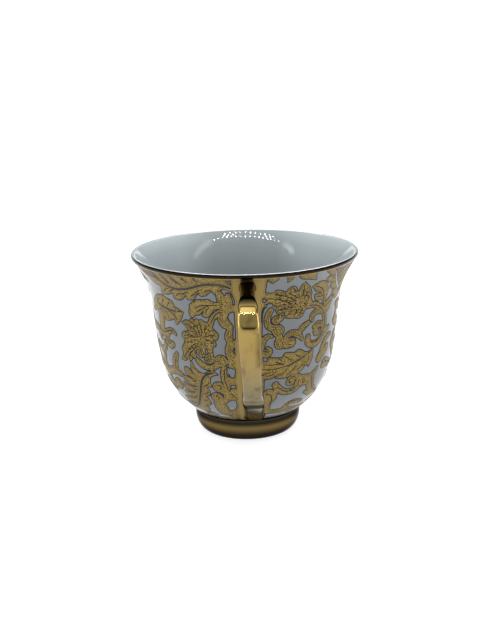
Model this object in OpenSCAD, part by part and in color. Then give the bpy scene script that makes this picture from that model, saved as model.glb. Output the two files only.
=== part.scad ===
// Footed tea cup with a flared rim and an ear-shaped strap handle, gilt over glazed porcelain.
// The origin is on the cup's axis at the resting plane, +Z is up and the handle points along -Y.

/* [Cup] */
// Height of the porcelain from the resting plane to the lip
cup_h = 57.5; // [52:0.5:63]
// Radius of the flared rim
rim_r = 35; // [32:0.5:38]
// Radius of the rounded lip, half of the wall's thickness there
lip_r = 0.65; // [0.5:0.05:0.8]
// Thickness of the wall at the waist
wall_t = 2.1; // [1.8:0.1:2.6]
// Thickness of the floor at its middle
floor_t = 3.1; // [2.5:0.1:3.6]

/* [Foot] */
// Height of the foot ring with its slip joint
foot_h = 7.2; // [6.4:0.2:8]
// Radius of the neck between the foot and the bowl
neck_r = 16.5; // [15.7:0.2:17.1]
// Outer radius of the flat ring that the cup rests on
rest_outer_r = 13; // [12.4:0.1:13.4]
// Inner radius of the recess under the cup
recess_r = 11; // [10:0.2:11.6]

/* [Handle] */
// Reach of the handle's outer face from the cup's axis
handle_reach = 53.1; // [50:0.5:56]
// Width of the strap at its middle
strap_w = 5.7; // [5:0.1:6.4]
// Thickness of the strap at its middle
strap_t = 3.5; // [3:0.1:4]
// Sideways lean of the handle, in degrees
handle_lean = 1.9; // [0:0.1:3]

/* [Gilding] */
// Thickness that stands for the fired gold film
gold_t = 0.15; // [0.1:0.05:0.2]
// How far the rim band comes down the outside
rim_band = 1.2; // [1:0.1:3]
// Angle from the middle of the handle to the left edge of the gilt strip behind it
strip_left = 8; // [6:1:12]
// Angle from the middle of the handle to the right edge of the gilt strip behind it
strip_right = 8; // [6:1:12]

/* [Hidden] */

porcelain = [0.93, 0.94, 0.95];
gold = [0.80, 0.64, 0.28];
steps = 16;               // points along each curve
slip_t = 0.4;             // thickness of the slip under the bowl and round the handle's roots
foot_edge = 0.4;          // width of the slanted inner edge of the resting ring
join_z = 0.62 * cup_h;    // where the two wall curves meet
join_r = 0.815 * rim_r;
past_join = 0.05;         // share of the upper curve skipped where it follows the lower one
lean_start = 0.6;         // sideways place of the handle at the height of the lip
strip_middle = 2;         // angle of the handle's middle, measured from -Y towards +X
strap_sides = 28;         // points round the strap
ring_steps = 12;          // rings along each curve of the handle

// Point at t on a cubic curve with control points c
function curve(c, t) = pow(1 - t, 3) * c[0] + 3 * pow(1 - t, 2) * t * c[1]
    + 3 * (1 - t) * t * t * c[2] + pow(t, 3) * c[3];
// Direction of that curve at t
function slope(c, t) = let (d = pow(1 - t, 2) * (c[1] - c[0]) + 2 * (1 - t) * t * (c[2] - c[1])
    + t * t * (c[3] - c[2])) d / norm(d);
function points(c, from, to) = [for (i = [0:steps]) curve(c, from + (to - from) * i / steps)];
// Points moved to the right of the curve's direction by d
function beside(c, from, to, d) = [for (i = [0:steps]) let (t = from + (to - from) * i / steps,
    s = slope(c, t)) curve(c, t) + d * [s[1], -s[0]]];
function reversed(a) = [for (i = [len(a) - 1:-1:0]) a[i]];
function arc(middle, r, from, to) = [for (i = [0:steps]) let (a = from + (to - from) * i / steps)
    middle + r * [cos(a), sin(a)]];

// The lip is a half circle across the wall, which leans out by rim_lean there
rim_lean = 35;
lip_middle = [rim_r - lip_r, cup_h - lip_r];
lip_out = lip_middle + lip_r * [cos(rim_lean), -sin(rim_lean)];
lip_in = lip_middle - lip_r * [cos(rim_lean), -sin(rim_lean)];
rim_way = [sin(rim_lean), cos(rim_lean)];

// Outside of the wall, from the neck up to the lip
wall_low = [[neck_r, foot_h], [0.725 * rim_r, 0.256 * cup_h], [0.77 * rim_r, 0.354 * cup_h],
            [join_r, join_z]];
wall_high = [[join_r, join_z], [0.836 * rim_r, 0.745 * cup_h], lip_out - 0.175 * cup_h * rim_way,
             lip_out];
// Inside of the wall, from the middle of the floor up to the lip
floor_z = foot_h + floor_t;
well_low = [[0, floor_z], [0.64 * rim_r, floor_z], [0.71 * rim_r, 0.305 * cup_h],
            [join_r - wall_t, join_z]];
well_high = [[join_r - wall_t, join_z], [0.836 * rim_r - wall_t, 0.745 * cup_h],
             lip_in - 0.185 * cup_h * rim_way, lip_in];
// Outside of the foot, from the neck down to the resting ring
foot_side = [[neck_r, foot_h], [neck_r + 0.5, 0.47 * foot_h], [rest_outer_r + 2.2, 0.2],
             [rest_outer_r, 0]];

// Share of wall_high at which the rim band starts, found by stepping down from the lip
band_z = cup_h - rim_band;
function share_at(z, t) = curve(wall_high, t)[1] <= z ? t : share_at(z, t - 0.002);
band_t = share_at(band_z, 1);
foot_gold_end = 0.86;     // share of foot_side that the gold covers
neck_gap = 0.03;          // share of wall_low left bare at the neck

// Middle line of the strap in the plane through the cup's axis, as distance out and height
mid_out = handle_reach - strap_t / 2;
path_curves = [
    [[31.6, 54.3], [35.4, 52.4], [39.5, 52.2], [43.5, 52.2]],
    [[43.5, 52.2], [49.3, 52.2], [mid_out, 49.8], [mid_out, 44.7]],
    [[mid_out, 44.7], [mid_out, 39.2], [46.9, 32.4], [43.6, 26.2]],
    [[43.6, 26.2], [42.1, 23.4], [37.6, 22], [18.4, 9.9]]];
// Width of the strap at places along it, where place 1.5 is halfway along the second curve
strap_widths = [[0, 3.9], [1.1, 4.1], [1.35, strap_w - 0.3], [2, strap_w], [2.4, strap_w - 0.2],
                [3, strap_w - 0.8], [3.45, strap_w + 0.6], [4, strap_w - 0.5]];
strap_depths = [[0, 3.2], [1.1, 3.3], [2, strap_t], [3, strap_t], [4, strap_t - 0.3]];
corner_power = 0.42;      // 1 would make the section an ellipse and 0 a rectangle

function bulge(v) = sign(v) * pow(abs(v), corner_power);
function lean_x(z) = lean_start + (cup_h - z) * tan(handle_lean);
// One ring of the strap at place w, grown by g on all sides
function ring(w, g) = let (k = min(floor(w), 3), p = curve(path_curves[k], w - k),
    s = slope(path_curves[k], w - k), half_w = lookup(w, strap_widths) / 2 + g,
    half_t = lookup(w, strap_depths) / 2 + g) [for (i = [0:strap_sides - 1])
    let (a = 360 * i / strap_sides, u = half_w * bulge(cos(a)), v = half_t * bulge(sin(a)),
    z = p[1] + v * s[0]) [lean_x(z) + u, v * s[1] - p[0], z]];
// Rings along the strap from place a to place b
function rings(a, b, g) = let (n = ceil((b - a) * ring_steps))
    [for (i = [0:n]) ring(a + (b - a) * i / n, g)];

// Places along the strap where its gilding starts and ends, just clear of the wall
gold_from = 0.1;
gold_to = 3.85;
// Places where the upper root's slip ends and the lower root's slip starts
upper_root = 0.25;
lower_root = 3.6;
pad_grow = 0.6;           // how far the slip stands out round the strap's roots

// Closed solid through a list of rings
module loft(r) {
    m = len(r[0]);
    n = len(r);
    polyhedron([for (row = r) each row],
        [[for (i = [0:m - 1]) i], [for (i = [m - 1:-1:0]) (n - 1) * m + i],
         for (j = [0:n - 2], i = [0:m - 1]) let (h = (i + 1) % m)
         each [[j * m + i, (j + 1) * m + i, j * m + h], [j * m + h, (j + 1) * m + i, (j + 1) * m + h]]]);
}

// Closed skin between an outer and an inner list of rings
module skin(outer, inner) {
    m = len(outer[0]);
    n = len(outer);
    size = m * n;
    polyhedron([for (row = outer) each row, for (row = inner) each row],
        [for (j = [0:n - 2], i = [0:m - 1]) let (h = (i + 1) % m)
         each [[j * m + i, (j + 1) * m + i, j * m + h], [j * m + h, (j + 1) * m + i, (j + 1) * m + h],
               [size + j * m + i, size + j * m + h, size + (j + 1) * m + i],
               [size + j * m + h, size + (j + 1) * m + h, size + (j + 1) * m + i]],
         for (i = [0:m - 1]) let (h = (i + 1) % m, e = (n - 1) * m)
         each [[i, h, size + i], [h, size + h, size + i],
               [e + i, size + e + i, e + h], [e + h, size + e + i, size + e + h]]]);
}

// Everything inside the outer surface of the bowl grown by g, so that what meets the bowl stops there
module bowl_space(g) {
    rotate_extrude($fn = 96) polygon(concat([[0, foot_h - 3], [neck_r - 2, foot_h - 3]],
        beside(wall_low, 0, 1, g), beside(wall_high, past_join, 1, g), [[0, lip_out[1]]]));
}

// Stretch of strap from place a to place b, thick enough to hold the slip round a root
module root(a, b) {
    loft(rings(a, b, pad_grow));
}

// Slip between the bowl's wall and a root of the strap
module root_slip(a, b) {
    difference() {
        intersection() {
            root(a, b);
            bowl_space(slip_t);
        }
        bowl_space(0);
    }
}

module wall_film(from, angle) {
    rotate([0, 0, from - 90]) rotate_extrude(angle = angle, $fn = 96)
        polygon(concat(beside(wall_low, neck_gap, 1, gold_t), beside(wall_high, past_join, band_t, gold_t),
            reversed(points(wall_high, past_join, band_t)), reversed(points(wall_low, neck_gap, 1))));
}

module bowl() {
    color(porcelain) rotate_extrude($fn = 96) polygon(concat([[0, foot_h]],
        points(wall_low, 0, 1), points(wall_high, past_join, 1), arc(lip_middle, lip_r, 5 - rim_lean, 175 - rim_lean),
        reversed(points(well_high, 0, 1)), reversed(points(well_low, 0, 1 - past_join))));
}

module foot_ring() {
    recess_top = foot_h - slip_t;
    color(porcelain) rotate_extrude($fn = 96) polygon(concat([[recess_r + foot_edge, 0]],
        [for (p = reversed(points(foot_side, 0, 1))) if (p[1] <= recess_top) p],
        [[neck_r, recess_top], [recess_r, recess_top], [recess_r, foot_edge]]));
}

module foot_slip_ring() {
    color(porcelain) rotate_extrude($fn = 96)
        polygon([[recess_r, foot_h - slip_t], [neck_r, foot_h - slip_t], [neck_r, foot_h], [recess_r, foot_h]]);
}

module handle() {
    color(porcelain) difference() {
        loft(rings(0, 4, 0));
        bowl_space(slip_t);
    }
}

module upper_handle_slip() {
    color(porcelain) root_slip(0, upper_root);
}

module lower_handle_slip() {
    color(porcelain) root_slip(lower_root, 4);
}

module rim_gilding() {
    outer = concat(beside(wall_high, band_t, 1, gold_t), arc(lip_middle, lip_r + gold_t, -rim_lean, 90));
    inner = concat(points(wall_high, band_t, 1), arc(lip_middle, lip_r, -rim_lean, 90));
    color(gold) rotate_extrude($fn = 96) polygon(concat(outer, reversed(inner)));
}

module foot_gilding() {
    color(gold) rotate_extrude($fn = 96) polygon(concat(beside(foot_side, 0.02, foot_gold_end, -gold_t),
        reversed(points(foot_side, 0.02, foot_gold_end))));
}

module handle_gilding() {
    color(gold) skin(rings(gold_from, gold_to, gold_t), rings(gold_from, gold_to, 0));
}

module handle_back_gilding() {
    color(gold) difference() {
        wall_film(strip_middle - strip_left, strip_left + strip_right);
        root(0, upper_root);
        root(lower_root, 4);
    }
}

module scroll_transfer_left() {
    color(gold) wall_film(-180, 180 + strip_middle - strip_left);
}

module scroll_transfer_right() {
    color(gold) wall_film(strip_middle + strip_right, 180 - strip_middle - strip_right);
}

bowl();
foot_ring();
foot_slip_ring();
handle();
upper_handle_slip();
lower_handle_slip();
rim_gilding();
foot_gilding();
handle_gilding();
handle_back_gilding();
scroll_transfer_left();
scroll_transfer_right();
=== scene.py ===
import math

import bpy
import numpy as np
from mathutils import Matrix, Vector


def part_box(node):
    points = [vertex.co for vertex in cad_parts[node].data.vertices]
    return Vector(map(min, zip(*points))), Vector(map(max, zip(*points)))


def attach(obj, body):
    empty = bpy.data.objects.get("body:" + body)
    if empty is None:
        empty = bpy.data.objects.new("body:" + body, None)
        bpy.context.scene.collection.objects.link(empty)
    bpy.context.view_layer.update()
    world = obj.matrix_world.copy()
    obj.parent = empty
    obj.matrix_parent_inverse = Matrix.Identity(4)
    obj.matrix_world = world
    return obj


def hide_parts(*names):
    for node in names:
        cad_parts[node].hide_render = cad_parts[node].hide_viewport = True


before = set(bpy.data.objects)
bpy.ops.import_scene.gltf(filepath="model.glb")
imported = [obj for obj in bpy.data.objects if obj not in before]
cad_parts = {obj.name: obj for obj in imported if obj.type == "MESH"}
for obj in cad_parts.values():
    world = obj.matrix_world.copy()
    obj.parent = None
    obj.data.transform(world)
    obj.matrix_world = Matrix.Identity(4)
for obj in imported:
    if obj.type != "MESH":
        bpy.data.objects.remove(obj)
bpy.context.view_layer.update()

# ---------------------------------------------------------------- sizes, in millimetres
MM = 0.001
bowl_low, bowl_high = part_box("bowl")
CUP_H = bowl_high.z / MM
RIM_R = bowl_high.x / MM
FOOT_H = bowl_low.z / MM
NECK_R = 16.5
REST_R = 13.0
RECESS_R = 11.0
LIP_R = 0.65
WALL_T = 2.1
FLOOR_T = 3.1
RIM_LEAN = math.radians(35)
BAND_DROP = 1.2            # how far the rim band comes down the outside
NECK_GOLD_S = 1.9          # how far the foot's gold comes up the bowl
HANDLE_REACH = 53.1
STRAP_W = 5.7
STRAP_T = 3.5
HANDLE_LEAN = math.radians(1.9)
LEAN_START = 0.6           # sideways place of the handle's top, which then leans towards +X
STRIP_FROM, STRIP_TO = -6.0, 10.0   # degrees, from -Y towards +X


# ---------------------------------------------------------------- curves
def curve(c, t):
    """Points on a cubic curve with control points c at the values t."""
    c = np.asarray(c, float)
    t = np.asarray(t, float)[..., None]
    return (1 - t) ** 3 * c[0] + 3 * (1 - t) ** 2 * t * c[1] + 3 * (1 - t) * t * t * c[2] + t ** 3 * c[3]


def slope(c, t):
    """Unit direction of that curve at the values t."""
    c = np.asarray(c, float)
    t = np.asarray(t, float)[..., None]
    d = (1 - t) ** 2 * (c[1] - c[0]) + 2 * (1 - t) * t * (c[2] - c[1]) + t * t * (c[3] - c[2])
    return d / np.linalg.norm(d, axis=-1, keepdims=True)


def arc(middle, r, start, end, n=24):
    """Points on a circle's arc, from start to end in degrees."""
    a = np.radians(np.linspace(start, end, n))
    return np.asarray(middle) + r * np.stack([np.cos(a), np.sin(a)], -1)


def beside(line, d):
    """A line moved to the right of its direction by d."""
    way = np.gradient(line, axis=0)
    way /= np.linalg.norm(way, axis=1, keepdims=True)
    return line + d * np.stack([way[:, 1], -way[:, 0]], -1)


LIP_MIDDLE = np.array([RIM_R - LIP_R, CUP_H - LIP_R])
ACROSS_LIP = LIP_R * np.array([math.cos(RIM_LEAN), -math.sin(RIM_LEAN)])
RIM_WAY = np.array([math.sin(RIM_LEAN), math.cos(RIM_LEAN)])
LIP_OUT, LIP_IN = LIP_MIDDLE + ACROSS_LIP, LIP_MIDDLE - ACROSS_LIP
JOIN = np.array([0.815 * RIM_R, 0.62 * CUP_H])
JOIN_IN = JOIN - [WALL_T, 0]
FLOOR_Z = FOOT_H + FLOOR_T
WALL_LOW = [[NECK_R, FOOT_H], [0.725 * RIM_R, 0.256 * CUP_H], [0.77 * RIM_R, 0.354 * CUP_H], JOIN]
WALL_HIGH = [JOIN, [0.836 * RIM_R, 0.745 * CUP_H], LIP_OUT - 0.175 * CUP_H * RIM_WAY, LIP_OUT]
WELL_LOW = [[0, FLOOR_Z], [0.64 * RIM_R, FLOOR_Z], [0.71 * RIM_R, 0.305 * CUP_H], JOIN_IN]
WELL_HIGH = [JOIN_IN, [0.836 * RIM_R - WALL_T, 0.745 * CUP_H], LIP_IN - 0.185 * CUP_H * RIM_WAY, LIP_IN]
FOOT_SIDE = [[NECK_R, FOOT_H], [NECK_R + 0.5, 0.47 * FOOT_H], [REST_R + 2.2, 0.2], [REST_R, 0]]

STEPS = np.linspace(0, 1, 70)
WALL = np.vstack([curve(WALL_LOW, STEPS), curve(WALL_HIGH, STEPS)[1:]])
WALL_S = np.concatenate([[0], np.cumsum(np.hypot(*np.diff(WALL, axis=0).T))])
BAND_S = float(np.interp(CUP_H - BAND_DROP, WALL[:, 1], WALL_S))
SLOPE_SPAN = 0.2           # half the length over which the wall's direction is taken


def wall_at(s):
    """Radius and height of the wall's outside at the distance s along it from the neck."""
    return np.interp(s, WALL_S, WALL[:, 0]), np.interp(s, WALL_S, WALL[:, 1])


def wall_points(angle, s, lift):
    """Points that stand lift off the wall, at angles in degrees from -Y towards +X."""
    r, z = wall_at(s)
    ra, za = wall_at(np.maximum(s - SLOPE_SPAN, 0))
    rb, zb = wall_at(np.minimum(s + SLOPE_SPAN, WALL_S[-1]))
    size = np.hypot(rb - ra, zb - za)
    out, up = (zb - za) / size, (ra - rb) / size
    a = np.radians(angle)
    reach = r + lift * out
    return np.stack([reach * np.sin(a), -reach * np.cos(a), z + lift * up], -1)


def wall_at_height(z):
    """Radius of the wall's outside at a height."""
    return float(np.interp(z, WALL[:, 1], WALL[:, 0]))


# ---------------------------------------------------------------- meshes
def add_mesh(name, verts, faces):
    """A smooth mesh object from points in millimetres and lists of faces."""
    mesh = bpy.data.meshes.new(name)
    mesh.from_pydata((np.asarray(verts) * MM).tolist(), [], faces)
    mesh.validate()
    mesh.shade_smooth()
    obj = bpy.data.objects.new(name, mesh)
    bpy.context.scene.collection.objects.link(obj)
    return obj


def revolve(name, line, segments=224, closed=False):
    """A line of radius and height turned about the cup's axis."""
    line = np.asarray(line, float)
    a = np.linspace(0, 2 * np.pi, segments, endpoint=False)
    r, z = line[:, 0][:, None], line[:, 1][:, None]
    verts = np.stack([r * np.sin(a), -r * np.cos(a), z + 0 * a], -1).reshape(-1, 3)
    faces = []
    for j in range(len(line) if closed else len(line) - 1):
        low, high = j * segments, (j + 1) % len(line) * segments
        for i in range(segments):
            k = (i + 1) % segments
            faces.append((low + i, low + k, high + k, high + i))
    return add_mesh(name, verts, faces)


# ---------------------------------------------------------------- porcelain
AXIS_GAP = 0.02            # radius of the pinhole left open on the axis
GLAZE_DEPTH = 0.2          # what lies deeper than this in the wall has the inside glaze


def make_bowl():
    """The bowl with its floor, in two materials: the outside glaze and the inside glaze, whose colour is
    painted light and shade.
    """
    inside = np.vstack([curve(WELL_LOW, STEPS[1:]), curve(WELL_HIGH, STEPS)[1:]])
    lip = arc(LIP_MIDDLE, LIP_R, -35, 145)[1:-1]
    floor = [[AXIS_GAP, FLOOR_Z]]
    under = [[AXIS_GAP, FOOT_H], [RECESS_R, FOOT_H], [NECK_R - 0.3, FOOT_H]]
    bowl = revolve("bowl_porcelain", np.vstack([under, WALL, lip, inside[::-1], floor]))
    bowl.data.materials.append(PORCELAIN)
    bowl.data.materials.append(PORCELAIN_INSIDE)
    for face in bowl.data.polygons:
        centre = face.center / MM
        deep = math.hypot(centre.x, centre.y) < wall_at_height(centre.z) - GLAZE_DEPTH
        if deep and centre.z > FOOT_H + 0.5:
            face.material_index = 1
    return bowl


def make_foot():
    """The foot ring, up to the slip, with a softened inner edge."""
    side = curve(FOOT_SIDE, STEPS[::-1])
    top = FOOT_H - 0.4
    side = side[side[:, 1] <= top]
    inside = [[RECESS_R, top], [RECESS_R, 0.4], [RECESS_R + 0.12, 0.12], [RECESS_R + 0.4, 0]]
    ring = np.vstack([inside, side, [[NECK_R, top]]])
    return revolve("foot_porcelain", ring, closed=True)


def make_foot_slip():
    """The bead of slip between the foot ring and the bowl."""
    top = FOOT_H + 0.02
    bead = [[RECESS_R - 0.35, top], [RECESS_R - 0.12, FOOT_H - 0.12], [RECESS_R + 0.02, FOOT_H - 0.5],
            [NECK_R - 0.1, FOOT_H - 0.4], [NECK_R - 0.1, top]]
    return revolve("foot_slip", bead, closed=True)


# ---------------------------------------------------------------- gilding of revolution
BAND_LIFT = 0.1            # how far each ring of gold stands off the porcelain
LIP_LIFT = 0.12
FOOT_LIFT = 0.08


def make_rim_gold():
    """The bright band on the outside, below the lip."""
    outside = np.stack(wall_at(np.linspace(BAND_S - 0.1, WALL_S[-1], 14)), -1)
    skin = beside(outside, BAND_LIFT)
    return revolve("rim_gold", np.vstack([outside[:1] - [0.1, 0], skin, outside[-1:] - [0.1, 0]]))


def make_lip_gold():
    """The dark gold over the outer half of the lip."""
    lip = arc(LIP_MIDDLE, LIP_R + LIP_LIFT, -42, 52)
    return revolve("lip_gold", np.vstack([LIP_MIDDLE + [0, -0.4], lip, LIP_MIDDLE + [-0.2, 0]]))


def make_foot_gold():
    """The gold on the outside of the foot and round the neck."""
    side = curve(FOOT_SIDE, np.linspace(0.86, 0, 60))
    rise = np.linspace(0, NECK_GOLD_S, 16)[1:]
    line = np.vstack([side, np.stack(wall_at(rise), -1)])
    skin = beside(line, FOOT_LIFT)
    return revolve("foot_gold", np.vstack([line[:1] - [0.1, -0.1], skin, line[-1:] - [0.15, 0]]))


# ---------------------------------------------------------------- handle
MID_OUT = HANDLE_REACH - STRAP_T / 2
# middle of the strap as four curves of (reach, height); a place on it is a number from 0 to 4
PATH = [
    [[31.6, 54.3], [35.4, 52.4], [39.5, 52.2], [43.5, 52.2]],
    [[43.5, 52.2], [49.3, 52.2], [MID_OUT, 49.8], [MID_OUT, 44.7]],
    [[MID_OUT, 44.7], [MID_OUT, 39.2], [46.9, 32.4], [43.6, 26.2]],
    [[43.6, 26.2], [42.1, 23.4], [37.6, 22], [18.4, 9.9]]]
WIDTHS = [(0, 3.9), (1.1, 4.1), (1.35, STRAP_W - 0.3), (2, STRAP_W), (2.4, STRAP_W - 0.2),
          (3, STRAP_W - 0.8), (3.45, STRAP_W + 0.6), (4, STRAP_W - 0.5)]
DEPTHS = [(0, 3.2), (1.1, 3.3), (2, STRAP_T), (3, STRAP_T), (4, STRAP_T - 0.3)]
CORNER_POWER = 0.42        # squareness of the strap's section: 1 is an ellipse, 0 a rectangle
EASE_SPAN = 0.12
GILT = 0.1                 # thickness of the gold that the strap is grown by
ROOT_DEPTH = 0.35          # how far the handle's roots reach into the wall


def eased(table, w):
    """A reading of a table of place and value, averaged over EASE_SPAN to either side."""
    places, values = np.array(table).T
    near = np.linspace(-EASE_SPAN, EASE_SPAN, 9)
    return np.mean([np.interp(w + d, places, values) for d in near], axis=0)


def strap_ring(w, grow, sides):
    """The strap's section at the place w, made larger by grow on every side."""
    k = min(int(w), 3)
    p, s = curve(PATH[k], w - k), slope(PATH[k], w - k)
    a = np.linspace(0, 2 * np.pi, sides, endpoint=False)

    def bulge(v):
        return np.sign(v) * np.abs(v) ** CORNER_POWER

    u = (eased(WIDTHS, w) / 2 + grow) * bulge(np.cos(a))
    v = (eased(DEPTHS, w) / 2 + grow) * bulge(np.sin(a))
    z = p[1] + v * s[0]
    x = LEAN_START + (CUP_H - z) * math.tan(HANDLE_LEAN) + u
    return np.stack([x, v * s[1] - p[0], z], -1)


def off_wall(points):
    """Distance of points from the outside of the wall, measured level."""
    wall_r = np.interp(points[:, 2], WALL[:, 1], WALL[:, 0])
    return np.hypot(points[:, 0], points[:, 1]) - wall_r


def kept_in_wall(points):
    """Points deeper in the wall than ROOT_DEPTH are brought back out to it."""
    reach = np.hypot(points[:, 0], points[:, 1])
    push = np.maximum(-ROOT_DEPTH - off_wall(points), 0) / reach
    return points * np.stack([1 + push, 1 + push, np.ones_like(push)], -1)


def strap_mesh(name, start, end, grow, rings, sides=72):
    """The strap between two places, grown by a number or a function of the distance to the wall."""
    verts = []
    for w in np.linspace(start, end, rings):
        ring = strap_ring(w, 0.0, sides)
        g = grow(off_wall(ring)) if callable(grow) else grow
        verts.append(kept_in_wall(strap_ring(w, g, sides)))
    faces = []
    for low in range(0, (rings - 1) * sides, sides):
        for i in range(sides):
            k = (i + 1) % sides
            faces.append((low + i, low + k, low + sides + k, low + sides + i))
    faces.append(tuple(range(sides))[::-1])
    faces.append(tuple((rings - 1) * sides + i for i in range(sides)))
    return add_mesh(name, np.vstack(verts), faces)


def fillet(distance):
    """Growth of the strap near the wall: 0.55 mm at the wall, fading over 0.45 mm."""
    return GILT + 0.55 * np.exp(-np.maximum(distance, 0) / 0.45) - 0.02


# ---------------------------------------------------------------- materials
def material(name, colour, metallic, roughness, **more):
    """A material; more gives other sockets of its shader by name."""
    m = bpy.data.materials.new(name)
    m.use_nodes = True
    inputs = m.node_tree.nodes["Principled BSDF"].inputs
    inputs["Base Color"].default_value = (*colour, 1)
    inputs["Metallic"].default_value = metallic
    inputs["Roughness"].default_value = roughness
    for key, value in more.items():
        inputs[key.replace("_", " ")].default_value = value
    return m


# Painted shade: the white glaze is given a dark grey so that the outside of the cup reads as shaded; the
# inside is a lighter copy of the same glaze, with painted light and shade from paint_inside.
PORCELAIN = material("porcelain_glaze", (0.128, 0.14, 0.145), 0, 0.07)
PORCELAIN_INSIDE = material("porcelain_inside", (0.2, 0.22, 0.228), 0, 0.035)
BRIGHT_GOLD = material("bright_gold", (0.33, 0.238, 0.076), 1, 0.1)
HANDLE_GOLD = material("handle_gold", (0.33, 0.238, 0.076), 1, 0.1)
FOOT_GOLD = material("foot_gold", (0.5, 0.37, 0.14), 1, 0.16, Specular_Tint=(0.52, 0.52, 0.55, 1))
PRINT_GOLD = material("printed_gold", (0.275, 0.195, 0.065), 1, 0.42)
STRIP_GOLD = material("strip_gold", (0.225, 0.163, 0.058), 1, 0.38)
LIP_GOLD = material("lip_gold", (0.022, 0.016, 0.01), 1, 0.2)
KEY_LINE = material("key_line", (0.014, 0.015, 0.019), 0, 0.4, Specular_IOR_Level=0.2)
ENGRAVING = material("engraving", (0.01, 0.007, 0.004), 0, 0.6, Specular_IOR_Level=0.15)
INNER_LINE = material("inner_line", (0.055, 0.038, 0.014), 0.5, 0.5)


def node(tree, kind, **values):
    """A node with its attributes set."""
    made = tree.nodes.new(kind)
    for key, value in values.items():
        setattr(made, key, value)
    return made


def ramp(tree, source, *stops):
    """A colour ramp fed from a value; stops are (place, colour or grey level)."""
    made = node(tree, "ShaderNodeValToRGB")
    while len(made.color_ramp.elements) < len(stops):
        made.color_ramp.elements.new(0.5)
    for element, (place, colour) in zip(made.color_ramp.elements, stops):
        element.position = place
        element.color = (*np.broadcast_to(colour, 3).tolist(), 1)
    tree.links.new(source, made.inputs["Fac"])
    return made.outputs["Color"]


def tone(m, value, axis, low, high, *stops):
    """A ramp along one axis of Position, in millimetres, or Normal; places are shares of low to high."""
    tree = m.node_tree
    unit = MM if value == "Position" else 1
    split = node(tree, "ShaderNodeSeparateXYZ")
    tree.links.new(node(tree, "ShaderNodeNewGeometry").outputs[value], split.inputs[0])
    share = node(tree, "ShaderNodeMapRange")
    share.inputs["From Min"].default_value = low * unit
    share.inputs["From Max"].default_value = high * unit
    tree.links.new(split.outputs[axis], share.inputs["Value"])
    return ramp(tree, share.outputs[0], *stops)


def grain(m, scale, detail, *stops):
    """A ramp over noise in space."""
    tree = m.node_tree
    noise = node(tree, "ShaderNodeTexNoise")
    noise.inputs["Scale"].default_value = scale
    noise.inputs["Detail"].default_value = detail
    tree.links.new(node(tree, "ShaderNodeNewGeometry").outputs["Position"], noise.inputs["Vector"])
    return ramp(tree, noise.outputs["Fac"], *stops)


def combine(tree, operation, first, *others):
    """Colours brought together channel by channel, by MULTIPLY or MAXIMUM."""
    for other in others:
        made = node(tree, "ShaderNodeVectorMath", operation=operation)
        tree.links.new(first, made.inputs[0])
        tree.links.new(other, made.inputs[1])
        first = made.outputs[0]
    return first


def paint(m, colour, socket="Base Color"):
    """Links a colour to the material's shader."""
    m.node_tree.links.new(colour, m.node_tree.nodes["Principled BSDF"].inputs[socket])


HANDLE_TOP = 60            # the handle's tables of height go from the table to here
# the painted shade on the arm goes from bright to dark between these places along Y
ARM_FROM, ARM_TO = -51.5, -41.5   # how far forward the arm turns from bright to dark
WORN_NOISE = 190           # cells per metre in the blotches on the handle
PRINT_NOISE = 2300         # and in the grain of the printed gold


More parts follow.
